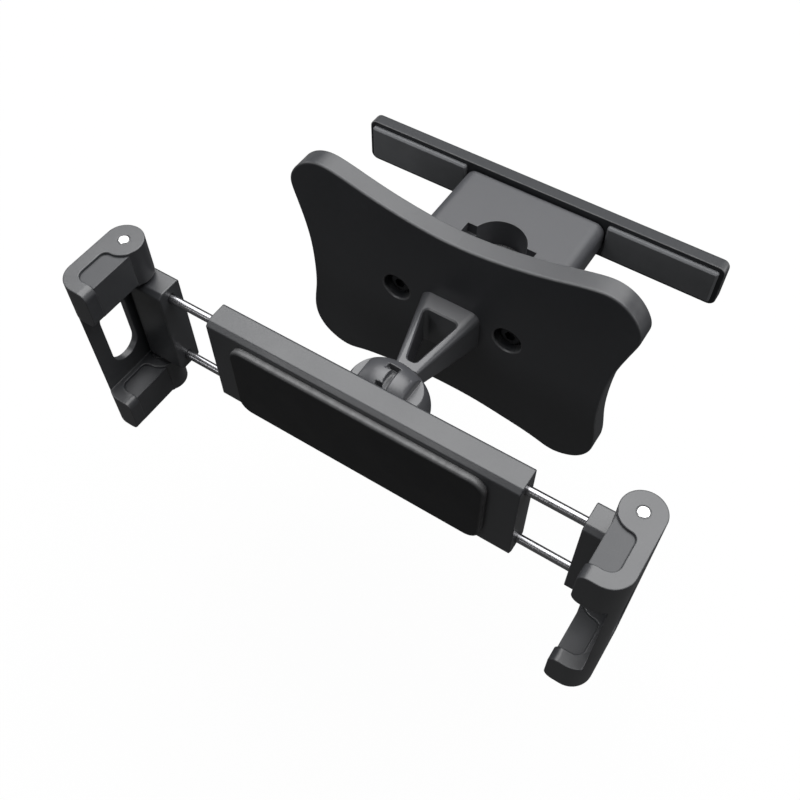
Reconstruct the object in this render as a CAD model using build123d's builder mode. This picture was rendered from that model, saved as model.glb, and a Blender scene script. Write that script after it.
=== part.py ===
from build123d import *
from math import cos, radians, sin, sqrt
import os

# Tablet holder for a car seat, all sizes in millimetres.
# The frame's origin is the centre of the wing plate's back face.
# X runs along the holder to the viewer's right, -Y faces the tablet, +Z is up.
# Sizes were read from the photo with a fitted camera, scaled to a 130 mm housing.

# wing plate, the butterfly-shaped face that lies against the seat
plate_half_w = 73.5
plate_half_h = 51.0
plate_t = 8.0
plate_front_y = -plate_t
plate_edge_r = 0.8
# half outline of the wing plate, from the top middle to the bottom middle,
# as fractions of the half width and the half height
wing_outline_shares = [
    (0.000, 0.812), (0.272, 0.845), (0.544, 0.925), (0.707, 0.986), (0.803, 1.000),
    (0.894, 0.955), (0.966, 0.853), (1.000, 0.735), (0.986, 0.608), (0.943, 0.392),
    (0.912, 0.176), (0.898, -0.098), (0.906, -0.392), (0.925, -0.608), (0.914, -0.765),
    (0.864, -0.892), (0.789, -0.967), (0.694, -0.996), (0.598, -0.961), (0.408, -0.902),
    (0.204, -0.857), (0.000, -0.843)]

# clamp: block, bar and the two screws that draw the bar to the plate
clamp_z = 4.2
screw_half_pitch = 25.0
recess_r = 6.0
recess_depth = 6.0
recess_edge = 0.5
screw_r = 3.0
screw_head_r = 5.25
screw_head_h = 3.25
hex_key_r = 2.31
hex_key_depth = 2.2
run_gap = 0.05
block_half_w = 32.5
block_h = 15.6
block_len = 59.8
block_corner_r = 5.0
block_rear_r = 0.8
bar_gap = 0.6
bar_half_len = 83.0
bar_h = 20.9
bar_t = 6.2
bar_corner_r = 3.2
bar_edge = 0.5
bar_back_r = 1.6
bar_front_y = block_len + bar_gap
bar_back_y = bar_front_y + bar_t
bar_pad_proud = 2.0
bar_pad_margin = 2.2
bar_pad_side_gap = 0.7
bar_pad_r = 1.0
bar_pad_edge = 0.8
bar_pad_inner_x = block_half_w + bar_pad_side_gap
bar_pad_outer_x = bar_half_len - bar_pad_margin
peg_inset = 10.45
peg_r = 1.5
peg_len = 3.0
sleeve_r = 5.0
sleeve_front_y = 18.0
sleeve_bore_front_y = 16.0
sleeve_flange_r = 6.5
sleeve_flange_t = 2.0
screw_end_y = 45.0
screw_free_r = 3.4

# keyed pocket in the top of the block
pocket_r = 11.85
pocket_y = 28.2
pocket_depth = 13.2
ear_len = 31.6
ear_w = 6.4
ear_depth = 5.0
pocket_ring_r = 11.2
pocket_ring_in_r = 9.6
pocket_ring_t = 1.2
pocket_ring_edge = 0.5

# long screws that hold the block to the wing plate
block_screw_x = 16.2
block_screw_drop = 3.6
block_screw_r = 1.5
block_screw_head_r = 2.75
block_screw_head_h = 3.0
block_screw_seat_y = 24.0
block_screw_in_plate = 6.0
block_screw_bore_r = 2.9
block_screw_key_r = 1.44
block_screw_key_depth = 1.6
thread_room = 0.1

# arm with its ball
arm_reach = 54.2
holder_back_y = plate_front_y - arm_reach
ball_r = 8.5
ball_out = 9.6
ball_y = holder_back_y + ball_out
neck_r = 3.2
neck_len = 13.0
nose_y = ball_y + neck_len
nose_half = 5.0
nose_corner_r = 1.5
arm_base_half_w = 13.0
arm_base_half_h = 11.0
arm_base_corner_r = 4.5
window_to_nose = 3.2
window_to_plate = 6.6
window_front_y = nose_y + window_to_nose
window_back_y = plate_front_y - window_to_plate
window_front_half = 2.0
window_back_half = 7.8
window_corner_r = 1.8
window_edge = 0.6
arm_screw_x = 8.0
arm_screw_z = 7.0
arm_screw_r = 2.0
arm_screw_head_r = 3.9
arm_screw_in_arm = 5.6
arm_screw_cross = 1.0
arm_screw_cross_depth = 1.4

# ball joint: liner, cup, seat ring and ring nut
liner_t = 0.79
liner_gap = 0.06
liner_in_r = ball_r + liner_gap
liner_out_r = liner_in_r + liner_t
liner_mouth_deg = 37.0
liner_slit_w = 1.2
cup_cavity_r = liner_out_r + run_gap
cup_r = 12.3
cup_past_ball = 3.4
cup_end_y = ball_y + cup_past_ball
cup_slot_w = 1.4
cup_slot_before_ball = 3.0
cup_slot_start_y = ball_y - cup_slot_before_ball
cup_flange_w = 34.0
cup_flange_h = 26.0
cup_flange_t = 2.0
cup_flange_r = 3.0
seat_r = 11.5
seat_gap = 0.3
seat_t = 3.1
seat_front_y = cup_end_y + seat_gap
seat_back_y = seat_front_y + seat_t
nut_r = 17.1
nut_clear = 1.6
nut_len = 16.8
nut_widest = 7.9
nut_gap = 0.07
nut_front_y = holder_back_y + nut_clear
nut_back_y = nut_front_y + nut_len
nut_widest_y = nut_front_y + nut_widest
nut_bore_r = cup_r + nut_gap
nut_lip_front_y = seat_back_y + seat_gap
nut_seat_bore_r = seat_r + run_gap
nut_lip_r = 7.6
nut_lip_back_r = 9.0
nut_rim_r = 12.9
nut_front_r = 14.0
notch_x = 9.9
notch_z = 9.8
lobe_corner_r = 3.0
tongue_half_w = 3.3
tongue_len = 6.6
tongue_inset = 6.6
tongue_y = nut_front_y + tongue_inset
tongue_dip = 0.6
groove_w = 1.3
groove_back_w = 2.3
groove_start_x = 1.3
groove_depth = 2.6

# housing of the grip
house_half_len = 65.0
house_half_h = 22.65
house_t = 11.1
house_front_y = holder_back_y - house_t
front_chamfer = 1.9
back_chamfer = 0.6
wall_t = 2.0
end_wall_t = 2.5
cavity_half_len = house_half_len - end_wall_t
cavity_half_h = house_half_h - wall_t
cover_t = 2.0
cover_gap = 0.1
cover_front_y = holder_back_y - cover_t
cup_hole_r = cup_r + cover_gap
rod_r = 1.75
rod_from_top = 5.55
rod_z = house_half_h - rod_from_top
rod_y = holder_back_y - house_t / 2
rod_hole_gap = 0.15
rod_hole_r = rod_r + rod_hole_gap
bush_r = 3.2
bush_len = 16.0
bush_in_r = rod_r + run_gap
guide_block_drop = 0.6
boss_r = 3.0
corner_boss_inset = 6.5
corner_boss_x = cavity_half_len - corner_boss_inset
corner_boss_z = 9.0
side_boss_x = 30.0
post_x = 12.0
post_z = 8.5
cover_screw_r = 1.25
cover_screw_len = 7.0
cover_screw_head_r = 2.4
cover_screw_cross = 0.7
cover_screw_cross_depth = 0.8
stop_rib_half_t = 1.0
stop_rib_half_h = 3.2
pad_end_margin = 11.5
pad_top_margin = 3.85
pad_half_w = house_half_len - pad_end_margin
pad_half_h = house_half_h - pad_top_margin
pad_proud = 3.1
pad_corner_r = 6.0
pad_edge_r = 1.4
pad_peg_r = 2.0
pad_peg_x = 42.0
pad_peg_z = 12.0
pad_peg_len = wall_t

# jaws: carriage and two rods a side
jaw_gap = 21.8
carriage_in_x = house_half_len + jaw_gap
pin_from_rods = 14.7
knuckle_r = 4.0
pin_x = carriage_in_x + pin_from_rods
pin_y = house_front_y + knuckle_r
carriage_out_x = pin_x + knuckle_r
rod_in_x = 20.0
rod_socket = 11.0
rod_end_edge = 0.3
collar_r = 3.0
collar_t = 2.0
core_w = 7.5
core_in_x = carriage_in_x + wall_t
core_out_x = core_in_x + core_w
core_half_h = 12.0
core_rib_half_t = 0.8
core_depth = 8.6

# claws
boss_out_r = 7.5
claw_out_x = pin_x + boss_out_r
claw_half_h = 41.5
finger_h = 17.1
finger_gap_half = claw_half_h - finger_h
claw_reach = 35.3
claw_front_y = holder_back_y - claw_reach
claw_corner_r = 8.4
claw_wall = 3.1
wall_in_x = claw_out_x - claw_wall
finger_t = 13.9
insert_t = 8.6
pad_face_x = claw_out_x - finger_t
pad_outer_x = pad_face_x + insert_t
hook_t = 5.4
hook_step = 0.9
hook_tip_r = 3.5
hook_x = pad_face_x - hook_step
hook_back_y = claw_front_y + hook_t
pad_boss_gap_r = 7.8
pad_bend_r = 2.5
pad_front_r = 3.8
pad_recess = 1.0
slot_w = 13.4
slot_h = 32.4
slot_inset = 15.9
slot_y = claw_front_y + slot_inset
pin_r = 2.1
pin_bore_r = pin_r + run_gap
pin_edge = 0.3
washer_r = 4.0
washer_t = 1.15

os.makedirs("parts", exist_ok=True)


# plan planes: X to the right and Z up, looking along +Y from the tablet's side
def facing(y):
    return Plane(origin=(0, y, 0), x_dir=(1, 0, 0), z_dir=(0, -1, 0))


wing_points = [(plate_half_w * a, plate_half_h * b) for a, b in wing_outline_shares]
wing_loop = wing_points + [(-x, z) for x, z in reversed(wing_points[1:-1])]

# the wing plate: outline, two screw recesses, holes for the hidden screws
with BuildPart() as wing_plate:
    with BuildSketch(facing(0)) as wing_outline:
        with BuildLine():
            Spline(*wing_loop, periodic=True)
        make_face()
    extrude(amount=plate_t)
    fillet(wing_plate.faces().sort_by(Axis.Y)[0].edges(), plate_edge_r)
    with Locations(facing(plate_front_y)):
        with Locations(*[(s * screw_half_pitch, clamp_z) for s in (-1, 1)]):
            CounterBoreHole(screw_r + run_gap, recess_r, recess_depth, plate_t)
    recess_mouths = wing_plate.edges().filter_by(GeomType.CIRCLE).filter_by(
        lambda rim: abs(rim.radius - recess_r) < run_gap).group_by(Axis.Y)[0]
    chamfer(recess_mouths, recess_edge)
    with BuildSketch(facing(0)) as block_screw_holes:
        with Locations(*[(s * block_screw_x, clamp_z - block_screw_drop) for s in (-1, 1)]):
            Circle(block_screw_r)
    extrude(amount=block_screw_in_plate, mode=Mode.SUBTRACT)
    with BuildSketch(facing(0)) as arm_screw_holes:
        with GridLocations(2 * arm_screw_x, 2 * arm_screw_z, 2, 2):
            Circle(arm_screw_r + thread_room)
    extrude(amount=plate_t, mode=Mode.SUBTRACT)
    with BuildSketch(facing(0)) as arm_screw_seats:
        with GridLocations(2 * arm_screw_x, 2 * arm_screw_z, 2, 2):
            Circle(arm_screw_head_r + thread_room)
    extrude(amount=arm_screw_head_r - arm_screw_r, taper=45, mode=Mode.SUBTRACT)
wing_plate.part.label = "wing_plate"
export_step(wing_plate.part, "parts/wing_plate.step")

# the arm, moulded in one with its neck and ball
with BuildPart() as ball_arm:
    with BuildSketch(facing(nose_y)) as nose_section:
        RectangleRounded(2 * nose_half, 2 * nose_half, nose_corner_r)
    with BuildSketch(facing(plate_front_y)) as base_section:
        RectangleRounded(2 * arm_base_half_w, 2 * arm_base_half_h, arm_base_corner_r)
    loft()
    with BuildSketch(Plane.XY) as arm_window:
        with BuildLine():
            Polyline((-window_front_half, window_front_y), (window_front_half, window_front_y),
                     (window_back_half, window_back_y), (-window_back_half, window_back_y),
                     close=True)
        make_face()
        fillet(arm_window.vertices(), window_corner_r)
    extrude(amount=arm_base_half_h, both=True, mode=Mode.SUBTRACT)
    chamfer(ball_arm.edges(Select.LAST).filter_by(Axis.Z, reverse=True), window_edge)
    with BuildSketch(facing(plate_front_y)) as arm_pilots:
        with GridLocations(2 * arm_screw_x, 2 * arm_screw_z, 2, 2):
            Circle(arm_screw_r)
    extrude(amount=arm_screw_in_arm, mode=Mode.SUBTRACT)
    with BuildSketch(Plane.XY) as neck_section:
        with BuildLine():
            Polyline((0, nose_y + nose_half), (nose_half - nose_corner_r / 2, nose_y + nose_corner_r),
                     (nose_half - nose_corner_r / 2, nose_y), (neck_r, nose_y - nose_corner_r),
                     (neck_r, ball_y), (0, ball_y), close=True)
        make_face()
    revolve(axis=Axis.Y)
    with Locations((0, ball_y, 0)):
        Sphere(ball_r)
ball_arm.part.label = "ball_arm"
export_step(ball_arm.part, "parts/ball_arm.step")

# four countersunk screws from the plate's back into the arm
with BuildPart() as arm_screws:
    with BuildSketch(facing(0)) as arm_screw_shanks:
        with GridLocations(2 * arm_screw_x, 2 * arm_screw_z, 2, 2):
            Circle(arm_screw_r)
    extrude(amount=plate_t + arm_screw_in_arm)
    with BuildSketch(facing(0)) as arm_screw_heads:
        with GridLocations(2 * arm_screw_x, 2 * arm_screw_z, 2, 2):
            Circle(arm_screw_head_r)
    extrude(amount=arm_screw_head_r - arm_screw_r, taper=45)
    with BuildSketch(facing(0)) as arm_screw_crosses:
        with GridLocations(2 * arm_screw_x, 2 * arm_screw_z, 2, 2):
            Rectangle(arm_screw_head_r + arm_screw_r / 2, arm_screw_cross)
            Rectangle(arm_screw_cross, arm_screw_head_r + arm_screw_r / 2)
    extrude(amount=arm_screw_cross_depth, mode=Mode.SUBTRACT)
arm_screws.part.label = "arm_screws"
export_step(arm_screws.part, "parts/arm_screws.step")

# the block between the plate and the bar, with its keyed pocket and bores
block_top_z = clamp_z + block_h / 2
with BuildPart() as clamp_block:
    with BuildSketch(facing(block_len)) as block_section:
        with Locations((0, clamp_z)):
            RectangleRounded(2 * block_half_w, block_h, block_corner_r)
    extrude(amount=block_len)
    fillet(clamp_block.faces().sort_by(Axis.Y)[-1].edges(), block_rear_r)
    with BuildSketch(Plane.XY.offset(block_top_z)) as pocket_plan:
        with Locations((0, pocket_y)):
            Circle(pocket_r)
    extrude(amount=-pocket_depth, mode=Mode.SUBTRACT)
    with BuildSketch(Plane.XY.offset(block_top_z)) as ear_plan:
        with Locations((0, pocket_y)):
            Rectangle(ear_len, ear_w)
    extrude(amount=-ear_depth, mode=Mode.SUBTRACT)
    with BuildSketch(facing(block_len)) as sleeve_bores:
        with Locations(*[(s * screw_half_pitch, clamp_z) for s in (-1, 1)]):
            Circle(sleeve_r + run_gap)
    extrude(amount=block_len - sleeve_bore_front_y, mode=Mode.SUBTRACT)
    with BuildSketch(facing(block_len)) as screw_bores:
        with Locations(*[(s * screw_half_pitch, clamp_z) for s in (-1, 1)]):
            Circle(screw_free_r)
    extrude(amount=block_len, mode=Mode.SUBTRACT)
    with BuildSketch(facing(block_len)) as block_screw_seats:
        with Locations(*[(s * block_screw_x, clamp_z - block_screw_drop) for s in (-1, 1)]):
            Circle(block_screw_bore_r)
    extrude(amount=block_len - block_screw_seat_y, mode=Mode.SUBTRACT)
    with BuildSketch(facing(block_len)) as block_screw_bores:
        with Locations(*[(s * block_screw_x, clamp_z - block_screw_drop) for s in (-1, 1)]):
            Circle(block_screw_r + thread_room)
    extrude(amount=block_len, mode=Mode.SUBTRACT)
clamp_block.part.label = "clamp_block"
export_step(clamp_block.part, "parts/clamp_block.step")

# the retaining ring on the pocket's floor
with BuildPart() as pocket_ring:
    with BuildSketch(Plane.XY.offset(block_top_z - pocket_depth)) as pocket_ring_plan:
        with Locations((0, pocket_y)):
            Circle(pocket_ring_r)
            Circle(pocket_ring_in_r, mode=Mode.SUBTRACT)
    extrude(amount=pocket_ring_t)
    chamfer(pocket_ring.faces().sort_by(Axis.Z)[-1].edges(), pocket_ring_edge)
pocket_ring.part.label = "pocket_ring"
export_step(pocket_ring.part, "parts/pocket_ring.step")

# two long cap screws from the block's rear into the plate
with BuildPart() as block_screws:
    with BuildSketch(facing(block_screw_seat_y)) as block_screw_shanks:
        with Locations(*[(s * block_screw_x, clamp_z - block_screw_drop) for s in (-1, 1)]):
            Circle(block_screw_r)
    extrude(amount=block_screw_seat_y + block_screw_in_plate)
    with BuildSketch(facing(block_screw_seat_y + block_screw_head_h)) as block_screw_heads:
        with Locations(*[(s * block_screw_x, clamp_z - block_screw_drop) for s in (-1, 1)]):
            Circle(block_screw_head_r)
    extrude(amount=block_screw_head_h)
    with BuildSketch(facing(block_screw_seat_y + block_screw_head_h)) as block_screw_keys:
        with Locations(*[(s * block_screw_x, clamp_z - block_screw_drop) for s in (-1, 1)]):
            RegularPolygon(block_screw_key_r, 6)
    extrude(amount=block_screw_key_depth, mode=Mode.SUBTRACT)
block_screws.part.label = "block_screws"
export_step(block_screws.part, "parts/block_screws.step")

# the rear bar
with BuildPart() as rear_bar:
    with BuildSketch(facing(bar_back_y)) as bar_outline:
        with Locations((0, clamp_z)):
            RectangleRounded(2 * bar_half_len, bar_h, bar_corner_r)
    extrude(amount=bar_t)
    fillet(rear_bar.faces().sort_by(Axis.Y)[0].edges(), bar_edge)
    fillet(rear_bar.faces().sort_by(Axis.Y)[-1].edges(), bar_back_r)
    with BuildSketch(facing(bar_back_y)) as sleeve_holes:
        with Locations(*[(s * screw_half_pitch, clamp_z) for s in (-1, 1)]):
            Circle(sleeve_r)
    extrude(amount=bar_t, mode=Mode.SUBTRACT)
    with BuildSketch(facing(bar_back_y)) as flange_seats:
        with Locations(*[(s * screw_half_pitch, clamp_z) for s in (-1, 1)]):
            Circle(sleeve_flange_r)
    extrude(amount=sleeve_flange_t, mode=Mode.SUBTRACT)
    with BuildSketch(facing(bar_front_y + peg_len)) as bar_peg_holes:
        with Locations(*[(s * x, clamp_z) for s in (-1, 1)
                         for x in (bar_pad_inner_x + peg_inset, bar_pad_outer_x - peg_inset)]):
            Circle(peg_r)
    extrude(amount=peg_len, mode=Mode.SUBTRACT)
rear_bar.part.label = "rear_bar"
export_step(rear_bar.part, "parts/rear_bar.step")

# two threaded sleeves pressed into the bar, which slide in the block
with BuildPart() as bar_sleeves:
    with BuildSketch(facing(bar_back_y)) as sleeve_tubes:
        with Locations(*[(s * screw_half_pitch, clamp_z) for s in (-1, 1)]):
            Circle(sleeve_r)
    extrude(amount=bar_back_y - sleeve_front_y)
    with BuildSketch(facing(bar_back_y)) as sleeve_flanges:
        with Locations(*[(s * screw_half_pitch, clamp_z) for s in (-1, 1)]):
            Circle(sleeve_flange_r)
    extrude(amount=sleeve_flange_t)
    with BuildSketch(facing(bar_back_y - sleeve_flange_t)) as sleeve_threads:
        with Locations(*[(s * screw_half_pitch, clamp_z) for s in (-1, 1)]):
            Circle(screw_r + run_gap)
    extrude(amount=bar_back_y, mode=Mode.SUBTRACT)
bar_sleeves.part.label = "bar_sleeves"
export_step(bar_sleeves.part, "parts/bar_sleeves.step")

# the bar's rubber pads, each with two pegs
bar_pad_len = bar_pad_outer_x - bar_pad_inner_x
bar_pad_mid_x = (bar_pad_outer_x + bar_pad_inner_x) / 2
with BuildPart() as bar_pad_right:
    with BuildSketch(facing(bar_front_y)) as bar_pad_outline:
        with Locations((bar_pad_mid_x, clamp_z)):
            RectangleRounded(bar_pad_len, bar_h - 2 * bar_pad_margin, bar_pad_r)
    extrude(amount=bar_pad_proud)
    chamfer(bar_pad_right.faces().sort_by(Axis.Y)[0].edges(), bar_pad_edge)
    with BuildSketch(facing(bar_front_y + peg_len)) as bar_pad_pegs:
        with Locations((bar_pad_inner_x + peg_inset, clamp_z), (bar_pad_outer_x - peg_inset, clamp_z)):
            Circle(peg_r)
    extrude(amount=peg_len)
bar_pad_right.part.label = "bar_pad_right"
export_step(bar_pad_right.part, "parts/bar_pad_right.step")

# the two clamp screws: domed heads sunk in the plate, hex keyed
head_seat_y = plate_front_y + recess_depth - run_gap
head_top_y = head_seat_y - screw_head_h
with BuildPart() as clamp_screw_right:
    with BuildSketch(facing(screw_end_y)) as clamp_shank:
        with Locations((screw_half_pitch, clamp_z)):
            Circle(screw_r)
    extrude(amount=screw_end_y - head_seat_y)
    with BuildSketch(facing(head_seat_y)) as clamp_head:
        with Locations((screw_half_pitch, clamp_z)):
            Circle(screw_head_r)
    extrude(amount=screw_head_h)
    fillet(clamp_screw_right.faces().sort_by(Axis.Y)[0].edges(), screw_head_h / 2)
    with BuildSketch(facing(head_top_y)) as clamp_key:
        with Locations((screw_half_pitch, clamp_z)):
            RegularPolygon(hex_key_r, 6)
    extrude(amount=-hex_key_depth, mode=Mode.SUBTRACT)
clamp_screw_right.part.label = "clamp_screw_right"
export_step(clamp_screw_right.part, "parts/clamp_screw_right.step")

# the slit plastic liner that rides on the ball
mouth = radians(liner_mouth_deg)
with BuildPart() as ball_liner:
    with BuildSketch(Plane.XY) as liner_section:
        with BuildLine():
            ThreePointArc((liner_out_r * sin(mouth), ball_y + liner_out_r * cos(mouth)),
                          (liner_out_r, ball_y), (0, ball_y - liner_out_r))
            Line((0, ball_y - liner_out_r), (0, ball_y - liner_in_r))
            ThreePointArc((0, ball_y - liner_in_r), (liner_in_r, ball_y),
                          (liner_in_r * sin(mouth), ball_y + liner_in_r * cos(mouth)))
            Line((liner_in_r * sin(mouth), ball_y + liner_in_r * cos(mouth)),
                 (liner_out_r * sin(mouth), ball_y + liner_out_r * cos(mouth)))
        make_face()
    revolve(axis=Axis.Y)
    with Locations((0, ball_y + liner_out_r / 2, 0)):
        Box(liner_slit_w, liner_out_r, 2 * liner_out_r, mode=Mode.SUBTRACT)
        Box(2 * liner_out_r, liner_out_r, liner_slit_w, mode=Mode.SUBTRACT)
ball_liner.part.label = "ball_liner"
export_step(ball_liner.part, "parts/ball_liner.step")

# the slotted cup that holds the liner, with its flange inside the housing
cup_flange_y = cover_front_y - cup_flange_t
with BuildPart() as ball_cup:
    with BuildSketch(facing(cover_front_y)) as cup_flange:
        RectangleRounded(cup_flange_w, cup_flange_h, cup_flange_r)
    extrude(amount=cup_flange_t)
    with BuildSketch(facing(cup_end_y)) as cup_barrel:
        Circle(cup_r)
    extrude(amount=cup_end_y - cover_front_y)
    with BuildSketch(facing(cup_end_y)) as cup_mouth:
        Circle(cup_cavity_r)
    extrude(amount=cup_end_y - ball_y, mode=Mode.SUBTRACT)
    with Locations((0, ball_y, 0)):
        Sphere(cup_cavity_r, mode=Mode.SUBTRACT)
    with Locations((0, (cup_end_y + cup_slot_start_y) / 2, 0)):
        Box(2 * cup_r, cup_end_y - cup_slot_start_y, cup_slot_w, mode=Mode.SUBTRACT)
        Box(cup_slot_w, cup_end_y - cup_slot_start_y, 2 * cup_r, mode=Mode.SUBTRACT)
ball_cup.part.label = "ball_cup"
export_step(ball_cup.part, "parts/ball_cup.step")

# the seat ring behind the ball
with BuildPart() as seat_ring:
    with BuildSketch(facing(seat_back_y)) as seat_disc:
        Circle(seat_r)
    extrude(amount=seat_back_y - seat_front_y)
    with Locations((0, ball_y, 0)):
        Sphere(cup_cavity_r, mode=Mode.SUBTRACT)
seat_ring.part.label = "seat_ring"
export_step(seat_ring.part, "parts/seat_ring.step")

# the ring nut: barrel-shaped, with four notches that leave two lobes, and in each
# lobe a tongue with a groove round three of its sides
lobe_corner_x = notch_x - lobe_corner_r
lobe_corner_z = sqrt((nut_r - lobe_corner_r) ** 2 - lobe_corner_x ** 2)
lobe_top_x = lobe_corner_x * nut_r / (nut_r - lobe_corner_r)
lobe_top_z = lobe_corner_z * nut_r / (nut_r - lobe_corner_r)
lobe_top = Plane.XY.offset(nut_r)
low_lobe_top = Plane(origin=(0, 0, -nut_r), x_dir=(-1, 0, 0), z_dir=(0, 0, -1))
with BuildPart() as ring_nut:
    with BuildSketch(Plane.XY) as nut_section:
        with BuildLine():
            Line((nut_bore_r, nut_front_y), (nut_front_r, nut_front_y))
            ThreePointArc((nut_front_r, nut_front_y), (nut_r, nut_widest_y),
                          (nut_rim_r, nut_back_y))
            Polyline((nut_rim_r, nut_back_y), (nut_lip_back_r, nut_back_y),
                     (nut_lip_r, nut_lip_front_y), (nut_seat_bore_r, nut_lip_front_y),
                     (nut_seat_bore_r, cup_end_y + run_gap), (nut_bore_r, cup_end_y + run_gap),
                     (nut_bore_r, nut_front_y))
        make_face()
    revolve(axis=Axis.Y)
    with BuildSketch(facing(nut_back_y)) as notch_section:
        with BuildLine():
            Line((notch_x, notch_z), (notch_x, lobe_corner_z))
            TangentArc((notch_x, lobe_corner_z), (lobe_top_x, lobe_top_z), tangent=(0, 1))
            Polyline((lobe_top_x, lobe_top_z), (lobe_top_x, nut_r), (nut_r, nut_r),
                     (nut_r, notch_z), (notch_x, notch_z))
        make_face()
        mirror(about=Plane.YZ)
        mirror(about=Plane.XZ)
    extrude(amount=nut_len, mode=Mode.SUBTRACT)
    for lobe_plane in (lobe_top, low_lobe_top):
        with BuildSketch(lobe_plane) as groove_plan:
            with BuildLine():
                Polyline((-groove_start_x, tongue_y - tongue_len / 2),
                         (-groove_start_x, tongue_y - tongue_len / 2 - groove_w),
                         (tongue_half_w, tongue_y - tongue_len / 2 - groove_w),
                         (tongue_half_w, tongue_y + tongue_len / 2 + groove_back_w),
                         (-groove_start_x, tongue_y + tongue_len / 2 + groove_back_w),
                         (-groove_start_x, tongue_y + tongue_len / 2),
                         (tongue_half_w - groove_w, tongue_y + tongue_len / 2))
                ThreePointArc((tongue_half_w - groove_w, tongue_y + tongue_len / 2),
                              (tongue_half_w - groove_w - tongue_dip, tongue_y),
                              (tongue_half_w - groove_w, tongue_y - tongue_len / 2))
                Line((tongue_half_w - groove_w, tongue_y - tongue_len / 2),
                     (-groove_start_x, tongue_y - tongue_len / 2))
            make_face()
        extrude(amount=-groove_depth, mode=Mode.SUBTRACT)
ring_nut.part.label = "ring_nut"
export_step(ring_nut.part, "parts/ring_nut.step")

# the housing's front shell, with guide blocks, bosses and stops inside
cavity_front_y = house_front_y + wall_t
guide_in_x = cavity_half_len - bush_len
guide_low_z = rod_z - bush_r - guide_block_drop
with BuildPart() as front_shell:
    with BuildSketch(Plane.YZ.offset(-house_half_len)) as shell_section:
        with BuildLine():
            Polyline((holder_back_y, -house_half_h + back_chamfer),
                     (holder_back_y, house_half_h - back_chamfer),
                     (holder_back_y - back_chamfer, house_half_h),
                     (house_front_y + front_chamfer, house_half_h),
                     (house_front_y, house_half_h - front_chamfer),
                     (house_front_y, -house_half_h + front_chamfer),
                     (house_front_y + front_chamfer, -house_half_h),
                     (holder_back_y - back_chamfer, -house_half_h), close=True)
        make_face()
    extrude(amount=2 * house_half_len)
    with BuildSketch(facing(holder_back_y)) as shell_cavity:
        Rectangle(2 * cavity_half_len, 2 * cavity_half_h)
    extrude(amount=holder_back_y - cavity_front_y, mode=Mode.SUBTRACT)
    with BuildSketch(facing(cover_front_y)) as guide_blocks:
        with Locations(*[(s * (guide_in_x + bush_len / 2), t * (guide_low_z + cavity_half_h) / 2)
                         for s in (-1, 1) for t in (-1, 1)]):
            Rectangle(bush_len, cavity_half_h - guide_low_z)
    extrude(amount=cover_front_y - cavity_front_y)
    with BuildSketch(facing(cover_front_y)) as cover_bosses:
        with Locations(*[(s * corner_boss_x, t * corner_boss_z) for s in (-1, 1) for t in (-1, 1)],
                       (-side_boss_x, 0), (side_boss_x, 0)):
            Circle(boss_r)
    extrude(amount=cover_front_y - cavity_front_y)
    with BuildSketch(facing(cup_flange_y)) as cup_posts:
        with GridLocations(2 * post_x, 2 * post_z, 2, 2):
            Circle(boss_r)
    extrude(amount=cup_flange_y - cavity_front_y)
    with BuildSketch(facing(cover_front_y)) as stop_ribs:
        with Locations((0, rod_z), (0, -rod_z)):
            Rectangle(2 * stop_rib_half_t, 2 * stop_rib_half_h)
    extrude(amount=cover_front_y - cavity_front_y)
    with BuildSketch(Plane.YZ.offset(-house_half_len)) as rod_holes:
        with Locations((rod_y, rod_z), (rod_y, -rod_z)):
            Circle(rod_hole_r)
    extrude(amount=end_wall_t, mode=Mode.SUBTRACT)
    with BuildSketch(Plane.YZ.offset(cavity_half_len)) as rod_holes_right:
        with Locations((rod_y, rod_z), (rod_y, -rod_z)):
            Circle(rod_hole_r)
    extrude(amount=end_wall_t, mode=Mode.SUBTRACT)
    with BuildSketch(Plane.YZ.offset(-cavity_half_len)) as bush_bores:
        with Locations((rod_y, rod_z), (rod_y, -rod_z)):
            Circle(bush_r)
    extrude(amount=bush_len, mode=Mode.SUBTRACT)
    with BuildSketch(Plane.YZ.offset(guide_in_x)) as bush_bores_right:
        with Locations((rod_y, rod_z), (rod_y, -rod_z)):
            Circle(bush_r)
    extrude(amount=bush_len, mode=Mode.SUBTRACT)
    with BuildSketch(facing(cover_front_y)) as boss_pilots:
        with Locations(*[(s * corner_boss_x, t * corner_boss_z) for s in (-1, 1) for t in (-1, 1)],
                       (-side_boss_x, 0), (side_boss_x, 0)):
            Circle(cover_screw_r)
    extrude(amount=cover_screw_len - cover_t, mode=Mode.SUBTRACT)
    with BuildSketch(facing(cavity_front_y)) as pad_peg_holes:
        with GridLocations(2 * pad_peg_x, 2 * pad_peg_z, 2, 2):
            Circle(pad_peg_r)
    extrude(amount=wall_t, mode=Mode.SUBTRACT)
front_shell.part.label = "front_shell"
export_step(front_shell.part, "parts/front_shell.step")

# the cover that closes the housing's back, round the ball cup
with BuildPart() as back_cover:
    with BuildSketch(facing(holder_back_y)) as cover_outline:
        Rectangle(2 * (cavity_half_len - cover_gap), 2 * (cavity_half_h - cover_gap))
        Circle(cup_hole_r, mode=Mode.SUBTRACT)
        with Locations(*[(s * corner_boss_x, t * corner_boss_z) for s in (-1, 1) for t in (-1, 1)],
                       (-side_boss_x, 0), (side_boss_x, 0)):
            Circle(cover_screw_r, mode=Mode.SUBTRACT)
    extrude(amount=cover_t)
    with BuildSketch(facing(holder_back_y)) as cover_seats:
        with Locations(*[(s * corner_boss_x, t * corner_boss_z) for s in (-1, 1) for t in (-1, 1)],
                       (-side_boss_x, 0), (side_boss_x, 0)):
            Circle(cover_screw_head_r)
    extrude(amount=cover_screw_head_r - cover_screw_r, taper=45, mode=Mode.SUBTRACT)
back_cover.part.label = "back_cover"
export_step(back_cover.part, "parts/back_cover.step")

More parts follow.
